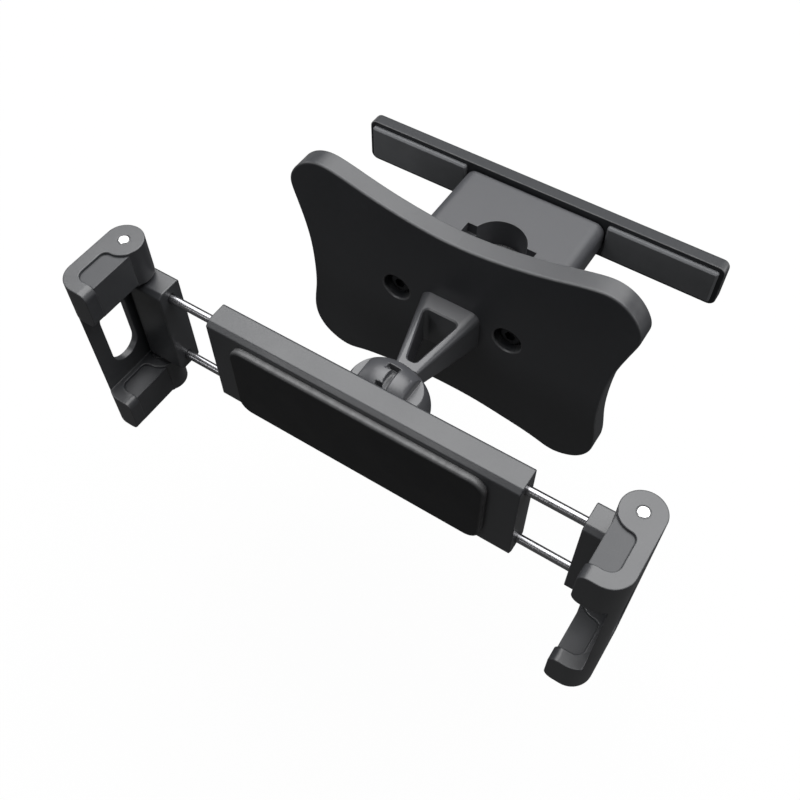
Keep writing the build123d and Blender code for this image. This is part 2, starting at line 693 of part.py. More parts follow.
with BuildPart() as cover_screws:
    with BuildSketch(facing(holder_back_y)) as cover_shanks:
        with Locations(*[(s * corner_boss_x, t * corner_boss_z) for s in (-1, 1) for t in (-1, 1)],
                       (-side_boss_x, 0), (side_boss_x, 0)):
            Circle(cover_screw_r)
    extrude(amount=cover_screw_len)
    with BuildSketch(facing(holder_back_y)) as cover_heads:
        with Locations(*[(s * corner_boss_x, t * corner_boss_z) for s in (-1, 1) for t in (-1, 1)],
                       (-side_boss_x, 0), (side_boss_x, 0)):
            Circle(cover_screw_head_r)
    extrude(amount=cover_screw_head_r - cover_screw_r, taper=45)
    with BuildSketch(facing(holder_back_y)) as cover_crosses:
        with Locations(*[(s * corner_boss_x, t * corner_boss_z) for s in (-1, 1) for t in (-1, 1)],
                       (-side_boss_x, 0), (side_boss_x, 0)):
            Rectangle(cover_screw_head_r + cover_screw_r / 2, cover_screw_cross)
            Rectangle(cover_screw_cross, cover_screw_head_r + cover_screw_r / 2)
    extrude(amount=cover_screw_cross_depth, mode=Mode.SUBTRACT)
cover_screws.part.label = "cover_screws"
export_step(cover_screws.part, "parts/cover_screws.step")

# the rubber face that the tablet's back rests on
with BuildPart() as front_pad:
    with BuildSketch(facing(house_front_y)) as pad_outline:
        RectangleRounded(2 * pad_half_w, 2 * pad_half_h, pad_corner_r)
    extrude(amount=pad_proud)
    fillet(front_pad.faces().sort_by(Axis.Y)[0].edges(), pad_edge_r)
    with BuildSketch(facing(house_front_y + pad_peg_len)) as pad_pegs:
        with GridLocations(2 * pad_peg_x, 2 * pad_peg_z, 2, 2):
            Circle(pad_peg_r)
    extrude(amount=pad_peg_len)
front_pad.part.label = "front_pad"
export_step(front_pad.part, "parts/front_pad.step")

# guide bushes, one in each guide block
with BuildPart() as guide_bush_upper_right:
    with BuildSketch(Plane.YZ.offset(guide_in_x)) as bush_section:
        with Locations((rod_y, rod_z)):
            Circle(bush_r)
            Circle(bush_in_r, mode=Mode.SUBTRACT)
    extrude(amount=bush_len)
guide_bush_upper_right.part.label = "guide_bush_upper_right"
export_step(guide_bush_upper_right.part, "parts/guide_bush_upper_right.step")

# the right carriage: same section as the housing, rounded about the claw's pin
with BuildPart() as carriage_right:
    with BuildSketch(Plane.YZ.offset(carriage_in_x)) as carriage_section:
        with BuildLine():
            Polyline((holder_back_y, -house_half_h + back_chamfer),
                     (holder_back_y, house_half_h - back_chamfer),
                     (holder_back_y - back_chamfer, house_half_h),
                     (house_front_y + front_chamfer, house_half_h),
                     (house_front_y, house_half_h - front_chamfer),
                     (house_front_y, -house_half_h + front_chamfer),
                     (house_front_y + front_chamfer, -house_half_h),
                     (holder_back_y - back_chamfer, -house_half_h), close=True)
        make_face()
    extrude(amount=carriage_out_x - carriage_in_x)
    with BuildSketch(Plane.XY) as knuckle_corner:
        with Locations((pin_x + knuckle_r / 2, pin_y - knuckle_r / 2)):
            Rectangle(knuckle_r, knuckle_r)
        with Locations((pin_x, pin_y)):
            Circle(knuckle_r, mode=Mode.SUBTRACT)
    extrude(amount=house_half_h, both=True, mode=Mode.SUBTRACT)
    with BuildSketch(Plane.YZ.offset(carriage_in_x)) as rod_sockets:
        with Locations((rod_y, rod_z), (rod_y, -rod_z)):
            Circle(rod_r)
    extrude(amount=rod_socket, mode=Mode.SUBTRACT)
    with BuildSketch(Plane.XY) as knuckle_bore:
        with Locations((pin_x, pin_y)):
            Circle(pin_bore_r)
    extrude(amount=house_half_h, both=True, mode=Mode.SUBTRACT)
    with BuildSketch(facing(holder_back_y)) as carriage_cores:
        with Locations(*[((core_in_x + core_out_x) / 2, t * (core_half_h + core_rib_half_t) / 2)
                         for t in (-1, 1)]):
            Rectangle(core_out_x - core_in_x, core_half_h - core_rib_half_t)
    extrude(amount=core_depth, mode=Mode.SUBTRACT)
carriage_right.part.label = "carriage_right"
export_step(carriage_right.part, "parts/carriage_right.step")

# the four steel rods
rod_len = carriage_in_x + rod_socket - rod_in_x
with BuildPart() as rod_upper_right:
    with BuildSketch(Plane.YZ.offset(rod_in_x)) as rod_section:
        with Locations((rod_y, rod_z)):
            Circle(rod_r)
    extrude(amount=rod_len)
    chamfer(rod_upper_right.edges().filter_by(GeomType.CIRCLE), rod_end_edge)
rod_upper_right.part.label = "rod_upper_right"
export_step(rod_upper_right.part, "parts/rod_upper_right.step")

# stop collars on the rods' inner ends, a pair a side
with BuildPart() as rod_collars_right:
    with BuildSketch(Plane.YZ.offset(rod_in_x + rod_end_edge)) as collar_section:
        with Locations((rod_y, rod_z), (rod_y, -rod_z)):
            Circle(collar_r)
            Circle(rod_r, mode=Mode.SUBTRACT)
    extrude(amount=collar_t)
rod_collars_right.part.label = "rod_collars_right"
export_step(rod_collars_right.part, "parts/rod_collars_right.step")

# the right claw: two hooked fingers joined by a thin outer wall with a slot
with BuildPart() as claw_right:
    with BuildSketch(Plane.XY.offset(finger_gap_half)) as finger_plan:
        with BuildLine():
            Polyline((pin_x, pin_y + boss_out_r / 2), (claw_out_x, pin_y + boss_out_r / 2),
                     (claw_out_x, claw_front_y), (hook_x, claw_front_y), (hook_x, hook_back_y),
                     (pad_face_x, hook_back_y), (pad_face_x, pin_y), (pin_x, pin_y), close=True)
        make_face()
        fillet(finger_plan.vertices().sort_by(Axis.Y)[:2].sort_by(Axis.X)[-1], claw_corner_r)
        with Locations((pin_x + boss_out_r, pin_y + boss_out_r / 2)):
            Rectangle(2 * boss_out_r, boss_out_r, mode=Mode.SUBTRACT)
        with Locations((pin_x, pin_y)):
            Circle(boss_out_r)
    extrude(amount=finger_h)
    with BuildSketch(Plane.XY.offset(-claw_half_h)) as low_finger_plan:
        add(finger_plan.sketch.moved(Location((0, 0, 0))))
    extrude(amount=finger_h)
    with BuildSketch(Plane.XY.offset(-finger_gap_half)) as wall_plan:
        add(finger_plan.sketch)
        with Locations((wall_in_x - 2 * boss_out_r, pin_y)):
            Rectangle(4 * boss_out_r, 2 * claw_half_h, mode=Mode.SUBTRACT)
    extrude(amount=2 * finger_gap_half)
    with BuildSketch(Plane.XY) as pad_pocket:
        with Locations(((hook_x + pad_outer_x) / 2, (hook_back_y + pin_y) / 2)):
            Rectangle(pad_outer_x - hook_x, pin_y - hook_back_y)
        with Locations((pin_x, pin_y)):
            Circle(pad_boss_gap_r, mode=Mode.SUBTRACT)
        fillet(pad_pocket.vertices().sort_by(Axis.X)[-2:].sort_by(Axis.Y)[-1], pad_bend_r)
        fillet(pad_pocket.vertices().sort_by(Axis.Y)[:2].sort_by(Axis.X)[-1], pad_front_r)
    extrude(amount=claw_half_h, both=True, mode=Mode.SUBTRACT)
    with BuildSketch(Plane.YZ.offset(wall_in_x)) as wall_slot:
        with Locations((slot_y, 0)):
            SlotOverall(slot_h, slot_w, rotation=90)
    extrude(amount=boss_out_r, mode=Mode.SUBTRACT)
    with BuildSketch(Plane.XY) as claw_pin_bore:
        with Locations((pin_x, pin_y)):
            Circle(pin_r)
    extrude(amount=claw_half_h, both=True, mode=Mode.SUBTRACT)
    hook_tips = claw_right.faces().filter_by(Axis.X).group_by(Axis.X)[0]
    fillet(hook_tips.edges().filter_by(Axis.Y), hook_tip_r)
claw_right.part.label = "claw_right"
export_step(claw_right.part, "parts/claw_right.step")

# rubber inserts in the claws' fingers
with BuildPart() as finger_pad_upper_right:
    with BuildSketch(Plane.XY.offset(finger_gap_half + pad_recess)) as finger_pad_plan:
        with Locations(((pad_face_x + pad_outer_x) / 2, (hook_back_y + pin_y) / 2)):
            Rectangle(pad_outer_x - pad_face_x, pin_y - hook_back_y)
        with Locations((pin_x, pin_y)):
            Circle(pad_boss_gap_r, mode=Mode.SUBTRACT)
        fillet(finger_pad_plan.vertices().sort_by(Axis.X)[-2:].sort_by(Axis.Y)[-1], pad_bend_r)
        fillet(finger_pad_plan.vertices().sort_by(Axis.Y)[:2].sort_by(Axis.X)[-1], pad_front_r)
    extrude(amount=finger_h - 2 * pad_recess)
finger_pad_upper_right.part.label = "finger_pad_upper_right"
export_step(finger_pad_upper_right.part, "parts/finger_pad_upper_right.step")

# hinge pins, pressed into the claws and turning in the carriages
with BuildPart() as hinge_pin_right:
    with BuildSketch(Plane.XY.offset(-claw_half_h)) as pin_plan:
        with Locations((pin_x, pin_y)):
            Circle(pin_r)
    extrude(amount=2 * claw_half_h)
    chamfer(hinge_pin_right.edges().filter_by(GeomType.CIRCLE), pin_edge)
hinge_pin_right.part.label = "hinge_pin_right"
export_step(hinge_pin_right.part, "parts/hinge_pin_right.step")

# thrust washers between the fingers and the carriages, a pair a side
with BuildPart() as pin_washers_right:
    with BuildSketch(Plane.XY.offset(finger_gap_half - washer_t)) as washer_plan:
        with Locations((pin_x, pin_y)):
            Circle(washer_r)
            Circle(pin_r, mode=Mode.SUBTRACT)
    extrude(amount=washer_t)
    with BuildSketch(Plane.XY.offset(-finger_gap_half)) as low_washer_plan:
        with Locations((pin_x, pin_y)):
            Circle(washer_r)
            Circle(pin_r, mode=Mode.SUBTRACT)
    extrude(amount=washer_t)
pin_washers_right.part.label = "pin_washers_right"
export_step(pin_washers_right.part, "parts/pin_washers_right.step")

# the lower rods, bushes and inserts are the upper ones turned over
lower_pieces = []
for upper in (guide_bush_upper_right, rod_upper_right, finger_pad_upper_right):
    with BuildPart() as lower:
        mirror(upper.part, about=Plane.XY)
    lower.part.label = upper.part.label.replace("upper", "lower")
    export_step(lower.part, f"parts/{lower.part.label}.step")
    lower_pieces.append(lower)

# the left side is the right side turned over
right_pieces = [bar_pad_right, clamp_screw_right, guide_bush_upper_right, carriage_right,
                rod_upper_right, rod_collars_right, claw_right, finger_pad_upper_right,
                hinge_pin_right, pin_washers_right] + lower_pieces
for right in right_pieces:
    with BuildPart() as left:
        mirror(right.part, about=Plane.YZ)
    left.part.label = right.part.label.replace("right", "left")
    export_step(left.part, f"parts/{left.part.label}.step")
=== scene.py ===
from math import pi, radians

import bmesh
import bpy
from mathutils import Matrix, Vector


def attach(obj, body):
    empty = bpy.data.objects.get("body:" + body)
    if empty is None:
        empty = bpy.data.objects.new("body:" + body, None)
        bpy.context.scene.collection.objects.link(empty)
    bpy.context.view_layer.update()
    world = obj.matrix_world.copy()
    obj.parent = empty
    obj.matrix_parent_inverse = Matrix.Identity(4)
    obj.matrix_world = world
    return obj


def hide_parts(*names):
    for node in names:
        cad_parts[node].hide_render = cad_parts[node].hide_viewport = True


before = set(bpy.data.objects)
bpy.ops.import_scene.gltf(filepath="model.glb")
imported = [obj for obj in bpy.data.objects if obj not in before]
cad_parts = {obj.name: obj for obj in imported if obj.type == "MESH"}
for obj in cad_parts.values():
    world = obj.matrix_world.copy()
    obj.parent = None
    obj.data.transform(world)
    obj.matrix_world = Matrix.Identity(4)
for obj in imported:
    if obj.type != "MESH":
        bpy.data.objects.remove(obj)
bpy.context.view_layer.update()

# camera, at the photograph's angle
CAMERA_PLACE = Vector((0.11427, -0.21859, 0.28972))
CAMERA_TARGET = Vector((0.011899, -0.0622, 0.020327))
CAMERA_ROLL = -0.00605
FOCAL_PIXELS = 954.93
PHOTO_PIXELS = 800
SENSOR_MM = 36.0

# stage
FLOOR_Z = -0.16
FLOOR_HALF = 6.0
FLOOR_PALE = (0.90, 0.90, 0.90)
FLOOR_BOUNCE = (0.08, 0.08, 0.08)
SHADOW_SHARE = 0.05
SHADOW_REACH = 0.35
SHADOW_END = 3.0 * SHADOW_REACH
MIRRORED_WHITE = 0.085
ROOM_LIGHT = 0.09
LAMP_AIM = (0.0, -0.03, 0.0)

# joining and rounding of the solids' meshes
MERGE_GAP = 1e-6
FLAT_ANGLE = radians(0.5)
SHARP_ANGLE = radians(28)
HOUSING_ROUND = 0.0004
CARRIAGE_ROUND = 0.0004
CLAW_ROUND = 0.0003
NO_ROUND = 0.0

# the ring nut's thumb grooves
TONGUE_Y = -0.0540
TONGUE_HALF_LEN = 0.0033
TONGUE_OPEN_X = 0.0013
TONGUE_WALL_X = 0.0020
TONGUE_DRAWN_IN = 0.0008
NUT_GROOVE_MID = 0.0005
NUT_GROOVE_HALF_LEN = 0.0052
NUT_GROOVE_FLOOR = 0.0145
NUT_GROOVE_DEEP_FLOOR = 0.0132

# the screws of the housing's back cover and of the ball arm
COVER_BACK_Y = -0.0622
COVER_CORNER_X = 0.056
COVER_CORNER_Z = 0.009
COVER_SIDE_X = 0.030
PLATE_BACK_Y = 0.0
ARM_SCREW_X = 0.008
ARM_SCREW_Z = 0.007
COVER_SCREW_SIZES = {
    "Head radius": 0.0024, "Shank radius": 0.00125, "Length": 0.007,
    "Cross width": 0.0007, "Cross depth": 0.0010,
    "Thread pitch": 0.0009, "Thread depth": 0.0003}
ARM_SCREW_SIZES = {
    "Head radius": 0.0039, "Shank radius": 0.0020, "Length": 0.0136,
    "Cross width": 0.0010, "Cross depth": 0.0017,
    "Thread pitch": 0.0012, "Thread depth": 0.0004}
SCREW_TURN_SEED = 4
# shares of the head's radius, of the cross's width and of the core's radius
CROSS_REACH = 1.3
CROSS_TOP_SHARE = 0.95
CROSS_FLOOR_SHARE = 0.6
POINT_SHARE = 0.7
THREAD_START_SHARE = 0.75

# how far the skins change over a piece: shade as shares, roughness as a step each way
NOISE_LOW = 0.3
NOISE_HIGH = 0.7
PLASTIC_CLOUD = (0.92, 1.08)
RUBBER_CLOUD = (0.85, 1.25)
PLASTIC_ROUGH_STEP = 0.04
RUBBER_ROUGH_STEP = 0.06
METAL_DARKER = 0.93
METAL_ROUGH_SHARES = (0.7, 1.3)
# edges, rounds and sides painted paler: partly wear, partly painted highlight
EDGE_GAIN = 4.0
EDGE_LEAST_PATCH = 0.3
WEAR_AND_HIGHLIGHT_SHARE = 0.6
EDGE_POLISH = 0.08
PLASTIC_GRAIN_STRENGTH = 0.5
RUBBER_GRAIN_STRENGTH = 0.6
LINE_STRENGTH = 0.3


# node trees

def add_node(tree, kind, **settings):
    node = tree.nodes.new(kind)
    for key, value in settings.items():
        if key in node.inputs:
            node.inputs[key].default_value = value
        else:
            setattr(node, key, value)
    return node


def new_group(name, inputs, outputs):
    tree = bpy.data.node_groups.new(name, "ShaderNodeTree")
    for label, value in inputs:
        tree.interface.new_socket(
            label, in_out="INPUT", socket_type="NodeSocketFloat").default_value = value
    for label in outputs:
        tree.interface.new_socket(label, in_out="OUTPUT", socket_type="NodeSocketFloat")
    return tree, tree.nodes.new("NodeGroupInput"), tree.nodes.new("NodeGroupOutput")


def maths(tree, operation, first, second=None, clamp=False):
    node = tree.nodes.new("ShaderNodeMath")
    node.operation = operation
    node.use_clamp = clamp
    for index, value in enumerate((first, second)):
        if value is None:
            continue
        if isinstance(value, (int, float)):
            node.inputs[index].default_value = value
        else:
            tree.links.new(value, node.inputs[index])
    return node.outputs[0]


def moulded_grain_group():
    """Fine spark-eroded texture of a moulding tool, with a slow change of gloss over the piece."""
    tree, given, result = new_group(
        "moulded_grain",
        [("Grain per metre", 4200.0), ("Cloud per metre", 45.0)],
        ["Height", "Cloud"])
    place = tree.nodes.new("ShaderNodeTexCoord").outputs["Object"]
    fine = add_node(tree, "ShaderNodeTexNoise", Detail=3.0, Roughness=0.6)
    pits = add_node(tree, "ShaderNodeTexVoronoi", feature="SMOOTH_F1", Smoothness=0.6)
    cloud = add_node(tree, "ShaderNodeTexNoise", Detail=4.0, Roughness=0.55)
    scaled = ((fine, "Grain per metre"), (pits, "Grain per metre"), (cloud, "Cloud per metre"))
    for node, label in scaled:
        tree.links.new(place, node.inputs["Vector"])
        tree.links.new(given.outputs[label], node.inputs["Scale"])
    height = maths(tree, "ADD", fine.outputs["Fac"], pits.outputs["Distance"])
    tree.links.new(height, result.inputs["Height"])
    tree.links.new(cloud.outputs["Fac"], result.inputs["Cloud"])
    return tree


def edge_wear_and_highlight_group():
    """Rounded normal of a moulded edge, and the mask of what hands polish and where the colour is
    painted paler, as wear and as painted highlight.

    The mask holds the edges, convex and hollow alike, where the rounded normal leaves the real one:
    there the pale colour is partly wear and partly a painted highlight line.
    It also holds as much of the rounds and of the sides as the two shares say: there the pale
    colour is a painted highlight.
    """
    tree, given, result = new_group(
        "edge_wear_and_highlight",
        [("Width", 0.0005), ("Break up per metre", 320.0),
         ("Round share", 0.0), ("Side share", 0.0)],
        ["Edge"])
    tree.interface.new_socket("Rounded", in_out="OUTPUT", socket_type="NodeSocketVector")
    rounded = add_node(tree, "ShaderNodeBevel", samples=6)
    tree.links.new(given.outputs["Width"], rounded.inputs["Radius"])
    real = tree.nodes.new("ShaderNodeNewGeometry")
    alike = add_node(tree, "ShaderNodeVectorMath", operation="DOT_PRODUCT")
    tree.links.new(rounded.outputs["Normal"], alike.inputs[0])
    tree.links.new(real.outputs["Normal"], alike.inputs[1])
    apart = maths(tree, "SUBTRACT", 1.0, alike.outputs["Value"], clamp=True)
    spread = maths(tree, "MULTIPLY", apart, EDGE_GAIN, clamp=True)
    # painted highlight: a round or a chamfer of a square-built piece, where its normal leaves all
    # three axes, is painted paler, as a lit round looks
    lean = add_node(tree, "ShaderNodeVectorMath", operation="ABSOLUTE")
    tree.links.new(tree.nodes.new("ShaderNodeTexCoord").outputs["Normal"], lean.inputs[0])
    parts = tree.nodes.new("ShaderNodeSeparateXYZ")
    tree.links.new(lean.outputs["Vector"], parts.inputs[0])
    largest = maths(tree, "MAXIMUM", parts.outputs["X"], parts.outputs["Y"])
    largest = maths(tree, "MAXIMUM", largest, parts.outputs["Z"])
    lean_share = maths(tree, "SUBTRACT", 1.0, largest)
    round_mask = maths(tree, "MULTIPLY", lean_share, EDGE_GAIN, clamp=True)
    round_spread = maths(tree, "MULTIPLY", round_mask, given.outputs["Round share"])
    spread = maths(tree, "MAXIMUM", spread, round_spread)
    # painted highlight: the faces of a pad that faces along Y, other than its face, are painted
    # paler, as its lit sides look
    side_mask = maths(tree, "SUBTRACT", 1.0, parts.outputs["Y"], clamp=True)
    side_spread = maths(tree, "MULTIPLY", side_mask, given.outputs["Side share"])
    spread = maths(tree, "MAXIMUM", spread, side_spread)
    noise = add_node(tree, "ShaderNodeTexNoise", Detail=3.0)
    tree.links.new(tree.nodes.new("ShaderNodeTexCoord").outputs["Object"], noise.inputs["Vector"])
    tree.links.new(given.outputs["Break up per metre"], noise.inputs["Scale"])
    patches = maths(tree, "ADD", noise.outputs["Fac"], EDGE_LEAST_PATCH)
    patchy = maths(tree, "MULTIPLY", spread, patches, clamp=True)
    tree.links.new(patchy, result.inputs["Edge"])
    tree.links.new(rounded.outputs["Normal"], result.inputs["Rounded"])
    return tree


def turned_lines_group():
    """Fine grinding lines across a rod or round a turned face."""
    tree, given, result = new_group("turned_lines", [("Lines per metre", 6000.0)], ["Lines"])
    place = tree.nodes.new("ShaderNodeTexCoord").outputs["Object"]
    stretch = add_node(tree, "ShaderNodeMapping", Scale=(1.0, 0.03, 0.03))
    noise = add_node(tree, "ShaderNodeTexNoise", Detail=2.0)
    tree.links.new(place, stretch.inputs["Vector"])
    tree.links.new(stretch.outputs["Vector"], noise.inputs["Vector"])
    tree.links.new(given.outputs["Lines per metre"], noise.inputs["Scale"])
    tree.links.new(noise.outputs["Fac"], result.inputs["Lines"])
    return tree


GRAIN = moulded_grain_group()
EDGE = edge_wear_and_highlight_group()
LINES = turned_lines_group()


def place_group(tree, group, **values):
    node = tree.nodes.new("ShaderNodeGroup")
    node.node_tree = group
    for label, value in values.items():
        node.inputs[label.replace("_", " ")].default_value = value
    return node


def start_material(name):
    material = bpy.data.materials.new(name)
    material.use_nodes = True
    tree = material.node_tree
    return material, tree, tree.nodes["Principled BSDF"]


def blend_colour(tree, mask, low, high):
    node = tree.nodes.new("ShaderNodeMix")
    node.data_type = "RGBA"
    node.inputs["A"].default_value = (*low, 1.0)
    node.inputs["B"].default_value = (*high, 1.0)
    tree.links.new(mask, node.inputs["Factor"])
    return node.outputs["Result"]


def stretch_range(tree, value, low, high):
    node = add_node(tree, "ShaderNodeMapRange")
    node.inputs["To Min"].default_value = low
    node.inputs["To Max"].default_value = high
    node.inputs["From Min"].default_value = NOISE_LOW
    node.inputs["From Max"].default_value = NOISE_HIGH
    tree.links.new(value, node.inputs["Value"])
    return node.outputs["Result"]


def grainy_bump(tree, shader, grain, edge, depth, strength):
    """Moulding grain laid on the rounded normal of the edges."""
    bump = add_node(tree, "ShaderNodeBump", Strength=strength, Distance=depth)
    tree.links.new(grain.outputs["Height"], bump.inputs["Height"])
    tree.links.new(edge.outputs["Rounded"], bump.inputs["Normal"])
    tree.links.new(bump.outputs["Normal"], shader.inputs["Normal"])


def with_wear_and_highlight(tree, shader, colour, edge, wear_and_highlight_colour):
    """The colour with its paler edges mixed in: partly wear, partly painted highlight."""
    wear_and_highlight_mix = tree.nodes.new("ShaderNodeMix")
    wear_and_highlight_mix.data_type = "RGBA"
    tree.links.new(maths(tree, "MULTIPLY", edge.outputs["Edge"], WEAR_AND_HIGHLIGHT_SHARE), wear_and_highlight_mix.inputs["Factor"])
    tree.links.new(colour, wear_and_highlight_mix.inputs["A"])
    wear_and_highlight_mix.inputs["B"].default_value = (*wear_and_highlight_colour, 1.0)
    tree.links.new(wear_and_highlight_mix.outputs["Result"], shader.inputs["Base Color"])


def clouded_colour(tree, grain, shade, cloud):
    """The shade, a little darker and lighter by turns over the piece."""
    darker, lighter = (tuple(share * part for part in shade) for share in cloud)
    return blend_colour(tree, grain.outputs["Cloud"], darker, lighter)


def clouded_roughness(tree, grain, roughness, step):
    return stretch_range(tree, grain.outputs["Cloud"], roughness - step, roughness + step)


def moulded_plastic(name, shade, wear_and_highlight_colour, roughness, gloss, grain_depth,
                    edge_width=0.0005, round_share=0.0):
    """Moulded plastic, with its edges smoother and painted paler: partly wear, partly painted
    highlight.
    """
    material, tree, shader = start_material(name)
    grain = place_group(tree, GRAIN)
    edge = place_group(tree, EDGE, Width=edge_width, Round_share=round_share)
    with_wear_and_highlight(tree, shader, clouded_colour(tree, grain, shade, PLASTIC_CLOUD), edge, wear_and_highlight_colour)
    rough = clouded_roughness(tree, grain, roughness, PLASTIC_ROUGH_STEP)
    smoother = maths(tree, "MULTIPLY", edge.outputs["Edge"], EDGE_POLISH)
    tree.links.new(maths(tree, "SUBTRACT", rough, smoother), shader.inputs["Roughness"])
    grainy_bump(tree, shader, grain, edge, grain_depth, PLASTIC_GRAIN_STRENGTH)
    shader.inputs["Specular IOR Level"].default_value = gloss
    return material


def rubber(name, shade, wear_and_highlight_colour, roughness, gloss, grain_depth,
           edge_width=0.0006, side_share=0.0):
    """Soft rubber: dull, with a fine pebble, a trace of dust in it, and edges and sides painted
    paler, partly as wear and partly as painted highlight.
    """
    material, tree, shader = start_material(name)
    grain = place_group(tree, GRAIN, Grain_per_metre=2600.0, Cloud_per_metre=70.0)
    edge = place_group(tree, EDGE, Width=edge_width, Side_share=side_share)
    with_wear_and_highlight(tree, shader, clouded_colour(tree, grain, shade, RUBBER_CLOUD), edge, wear_and_highlight_colour)
    rough = clouded_roughness(tree, grain, roughness, RUBBER_ROUGH_STEP)
    tree.links.new(rough, shader.inputs["Roughness"])
    grainy_bump(tree, shader, grain, edge, grain_depth, RUBBER_GRAIN_STRENGTH)
    shader.inputs["Specular IOR Level"].default_value = gloss
    return material


def metal(name, shade, roughness, line_depth, lines_per_metre=6000.0):
    """Bare or plated steel with fine grinding lines."""
    material, tree, shader = start_material(name)
    lines = place_group(tree, LINES, Lines_per_metre=lines_per_metre)
    darker = tuple(METAL_DARKER * part for part in shade)
    colour = blend_colour(tree, lines.outputs["Lines"], darker, shade)
    tree.links.new(colour, shader.inputs["Base Color"])
    least, most = (share * roughness for share in METAL_ROUGH_SHARES)
    rough = stretch_range(tree, lines.outputs["Lines"], least, most)
    tree.links.new(rough, shader.inputs["Roughness"])
    bump = add_node(tree, "ShaderNodeBump", Strength=LINE_STRENGTH, Distance=line_depth)
    tree.links.new(lines.outputs["Lines"], bump.inputs["Height"])
    tree.links.new(bump.outputs["Normal"], shader.inputs["Normal"])
    shader.inputs["Metallic"].default_value = 1.0
    return material


# the second colour of each finish is the paler colour of its edges, rounds and sides: partly wear,
# partly painted highlight
plate_plastic = moulded_plastic(
    "plate_plastic", (0.038, 0.040, 0.045), (0.38, 0.38, 0.385),
    roughness=0.38, gloss=0.85, grain_depth=3e-5, round_share=0.35)
bar_plastic = moulded_plastic(
    "bar_plastic", (0.036, 0.038, 0.042), (0.34, 0.34, 0.345),
    roughness=0.40, gloss=0.30, grain_depth=3e-5, round_share=1.0)
house_plastic = moulded_plastic(
    "house_plastic", (0.044, 0.046, 0.051), (0.14, 0.14, 0.145),
    roughness=0.37, gloss=0.95, grain_depth=2.5e-5)
claw_plastic = moulded_plastic(
    "claw_plastic", (0.046, 0.048, 0.053), (0.14, 0.14, 0.145),
    roughness=0.36, gloss=1.00, grain_depth=2.5e-5)
block_plastic = moulded_plastic(
    "block_plastic", (0.072, 0.074, 0.081), (0.34, 0.34, 0.345),
    roughness=0.40, gloss=0.58, grain_depth=2.5e-5, round_share=0.1)
arm_plastic = moulded_plastic(
    "arm_plastic", (0.088, 0.090, 0.098), (0.48, 0.48, 0.485),
    roughness=0.36, gloss=1.00, grain_depth=2.5e-5, edge_width=0.00025)
nut_plastic = moulded_plastic(
    "nut_plastic", (0.078, 0.080, 0.087), (0.26, 0.26, 0.265),
    roughness=0.36, gloss=1.00, grain_depth=2.5e-5)
liner_plastic = moulded_plastic(
    "liner_plastic", (0.70, 0.70, 0.66), (0.78, 0.78, 0.75),
    roughness=0.40, gloss=0.45, grain_depth=2e-5)
pad_rubber = rubber(
    "pad_rubber", (0.012, 0.0125, 0.014), (0.30, 0.30, 0.305),
    roughness=0.42, gloss=0.38, grain_depth=1.5e-5, edge_width=0.0003, side_share=1.0)
bar_pad_rubber = rubber(
    "bar_pad_rubber", (0.175, 0.180, 0.190), (0.30, 0.30, 0.305),
    roughness=0.55, gloss=0.45, grain_depth=3e-5)
insert_rubber = rubber(
    "insert_rubber", (0.056, 0.058, 0.063), (0.12, 0.12, 0.125),
    roughness=0.46, gloss=0.60, grain_depth=3e-5)
rod_chrome = metal("rod_chrome", (0.50, 0.50, 0.52), 0.26, 1e-7)
pin_steel = metal("pin_steel", (0.90, 0.90, 0.90), 0.28, 2e-6, 4000.0)
ring_steel = metal("ring_steel", (0.50, 0.50, 0.51), 0.30, 4e-6, 4000.0)
screw_steel = metal("screw_steel", (0.060, 0.062, 0.066), 0.30, 4e-6, 5000.0)

SIDES = ("left", "right")
HEIGHTS = ("upper", "lower")
CORNERS = [f"{height}_{side}" for height in HEIGHTS for side in SIDES]
FINISHES = {
    plate_plastic: ["wing_plate"],
    bar_plastic: ["rear_bar"],
    house_plastic: ["front_shell", "back_cover", "ball_cup"],
    claw_plastic: [f"{piece}_{side}" for piece in ("claw", "carriage", "pin_washers")
                   for side in SIDES],
    block_plastic: ["clamp_block"],
    arm_plastic: ["ball_arm"],
    nut_plastic: ["ring_nut", "seat_ring"],
    liner_plastic: ["ball_liner"] + [f"guide_bush_{corner}" for corner in CORNERS],
    pad_rubber: ["front_pad"],
    bar_pad_rubber: [f"bar_pad_{side}" for side in SIDES],
    insert_rubber: [f"finger_pad_{corner}" for corner in CORNERS],
    rod_chrome: [f"rod_{corner}" for corner in CORNERS],
    pin_steel: [f"hinge_pin_{side}" for side in SIDES],
    ring_steel: ["pocket_ring", "bar_sleeves"] + [f"rod_collars_{side}" for side in SIDES],
    screw_steel: ["block_screws", "arm_screws", "cover_screws"]
    + [f"clamp_screw_{side}" for side in SIDES],
}


def give_finish(mesh, material):
    mesh.materials.clear()
    mesh.materials.append(material)


for material, nodes in FINISHES.items():
    for node in nodes:
        give_finish(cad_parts[node].data, material)


# pieces whose edges are really rounded

def moulded_copy(node, reshape=None):
    """The node's own shape, its loose triangles joined, reshaped where the solid is plainer."""
    mesh = bpy.data.meshes.new(node + "_moulded")
    form = bmesh.new()
    form.from_mesh(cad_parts[node].data)
    bmesh.ops.remove_doubles(form, verts=form.verts, dist=MERGE_GAP)
    if reshape:
        reshape(form)
    bmesh.ops.dissolve_limit(form, angle_limit=FLAT_ANGLE, verts=form.verts, edges=form.edges)
    form.to_mesh(mesh)
    form.free()
    return mesh


def carried_piece(name, mesh, body, node, material):
    give_finish(mesh, material)
    piece = bpy.data.objects.new(name, mesh)
    bpy.context.scene.collection.objects.link(piece)
    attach(piece, body)
    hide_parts(node)


def plain_result(name, mesh, add_modifier):
    """The mesh that a modifier leaves, with the modifier gone."""
    source = bpy.data.objects.new(name + "_source", mesh)
    bpy.context.scene.collection.objects.link(source)
    add_modifier(source)
    bpy.context.view_layer.update()
    evaluated = source.evaluated_get(bpy.context.evaluated_depsgraph_get())
    result = bpy.data.meshes.new_from_object(evaluated)
    result.name = name
    bpy.data.objects.remove(source)
    return result


